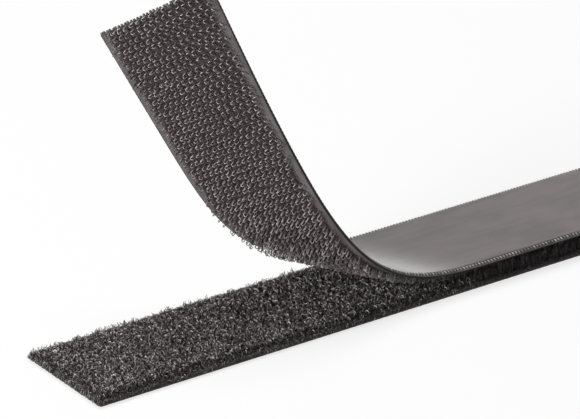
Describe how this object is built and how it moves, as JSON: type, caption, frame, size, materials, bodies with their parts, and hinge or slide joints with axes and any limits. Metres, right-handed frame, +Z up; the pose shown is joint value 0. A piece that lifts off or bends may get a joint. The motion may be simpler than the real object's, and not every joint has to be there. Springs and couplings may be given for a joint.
{
  "type": "hook and loop tape",
  "caption": "Mated pair of flat woven hook and loop fastening strips, the hook strip peeled up diagonally from the loop strip at one end.",
  "frame": {"origin": "centre of the loop strip's flat underside, on the surface it lies on", "axes": "+X along the tape from the open end to the mated end, +Y across the tape, +Z up from the loop strip to the hook strip"},
  "size_m": [0.1376, 0.0431, 0.0666],
  "materials": {
    "coating": "satin grey resin back coating",
    "loop_ground": "woven nylon ground with corded selvages",
    "hook_fabric": "woven nylon ground with bent monofilament hooks",
    "pile": "napped nylon loop pile"
  },
  "bodies": {
    "loop_strip": {"loop_back_coating": "coating", "loop_ground": "loop_ground", "loop_pile": "pile"},
    "hook_strip": {"hook_fabric_mated": "hook_fabric", "hook_coating_mated": "coating"},
    "peel_link_1": {"hook_fabric_bend_1": "hook_fabric", "hook_coating_bend_1": "coating"},
    "peel_link_2": {"hook_fabric_bend_2": "hook_fabric", "hook_coating_bend_2": "coating"},
    "peel_link_3": {"hook_fabric_bend_3": "hook_fabric", "hook_coating_bend_3": "coating"},
    "peel_link_4": {"hook_fabric_bend_4": "hook_fabric", "hook_coating_bend_4": "coating"},
    "peel_link_5": {"hook_fabric_bend_5": "hook_fabric", "hook_coating_bend_5": "coating"},
    "peel_link_6": {"hook_fabric_bend_6": "hook_fabric", "hook_coating_bend_6": "coating"},
    "peel_link_7": {"hook_fabric_bend_7": "hook_fabric", "hook_coating_bend_7": "coating"},
    "peel_link_8": {"hook_fabric_tail": "hook_fabric", "hook_coating_tail": "coating"}
  },
  "joints": [
    {"name": "lift_off", "type": "slide", "parent": "loop_strip", "child": "hook_strip", "axis": [0, 0, 1], "range_m": [0, 0.03]},
    {"name": "peel_1", "type": "hinge", "parent": "hook_strip", "child": "peel_link_1", "pos_m": [0.00814, -0.00001, 0.00507], "axis": [-0.5045, 0.8634, 0], "range_deg": [-10.43, 10.8]},
    {"name": "peel_2", "type": "hinge", "parent": "peel_link_1", "child": "peel_link_2", "pos_m": [0.00103, 0.00002, 0.00614], "axis": [-0.5045, 0.8634, 0], "range_deg": [-10.43, 10.8]},
    {"name": "peel_3", "type": "hinge", "parent": "peel_link_2", "child": "peel_link_3", "pos_m": [-0.0037, 0.00014, 0.00766], "axis": [-0.5045, 0.8634, 0], "range_deg": [-10.43, 10.8]},
    {"name": "peel_4", "type": "hinge", "parent": "peel_link_3", "child": "peel_link_4", "pos_m": [-0.00754, 0.00038, 0.00959], "axis": [-0.5045, 0.8634, 0], "range_deg": [-10.43, 10.8]},
    {"name": "peel_5", "type": "hinge", "parent": "peel_link_4", "child": "peel_link_5", "pos_m": [-0.0109, 0.00082, 0.01197], "axis": [-0.5045, 0.8634, 0], "range_deg": [-10.43, 10.8]},
    {"name": "peel_6", "type": "hinge", "parent": "peel_link_5", "child": "peel_link_6", "pos_m": [-0.01396, 0.00153, 0.01492], "axis": [-0.5045, 0.8634, 0], "range_deg": [-10.43, 10.8]},
    {"name": "peel_7", "type": "hinge", "parent": "peel_link_6", "child": "peel_link_7", "pos_m": [-0.01692, 0.00268, 0.01875], "axis": [-0.5045, 0.8634, 0], "range_deg": [-10.43, 10.8]},
    {"name": "peel_8", "type": "hinge", "parent": "peel_link_7", "child": "peel_link_8", "pos_m": [-0.02026, 0.0049, 0.02471], "axis": [-0.5045, 0.8634, 0], "range_deg": [-10.43, 10.8]}
  ],
  "couplings": [
    {"joint": "peel_2", "follows": "peel_1", "ratio": 1},
    {"joint": "peel_3", "follows": "peel_1", "ratio": 1},
    {"joint": "peel_4", "follows": "peel_1", "ratio": 1},
    {"joint": "peel_5", "follows": "peel_1", "ratio": 1},
    {"joint": "peel_6", "follows": "peel_1", "ratio": 1},
    {"joint": "peel_7", "follows": "peel_1", "ratio": 1},
    {"joint": "peel_8", "follows": "peel_1", "ratio": 1}
  ]
}
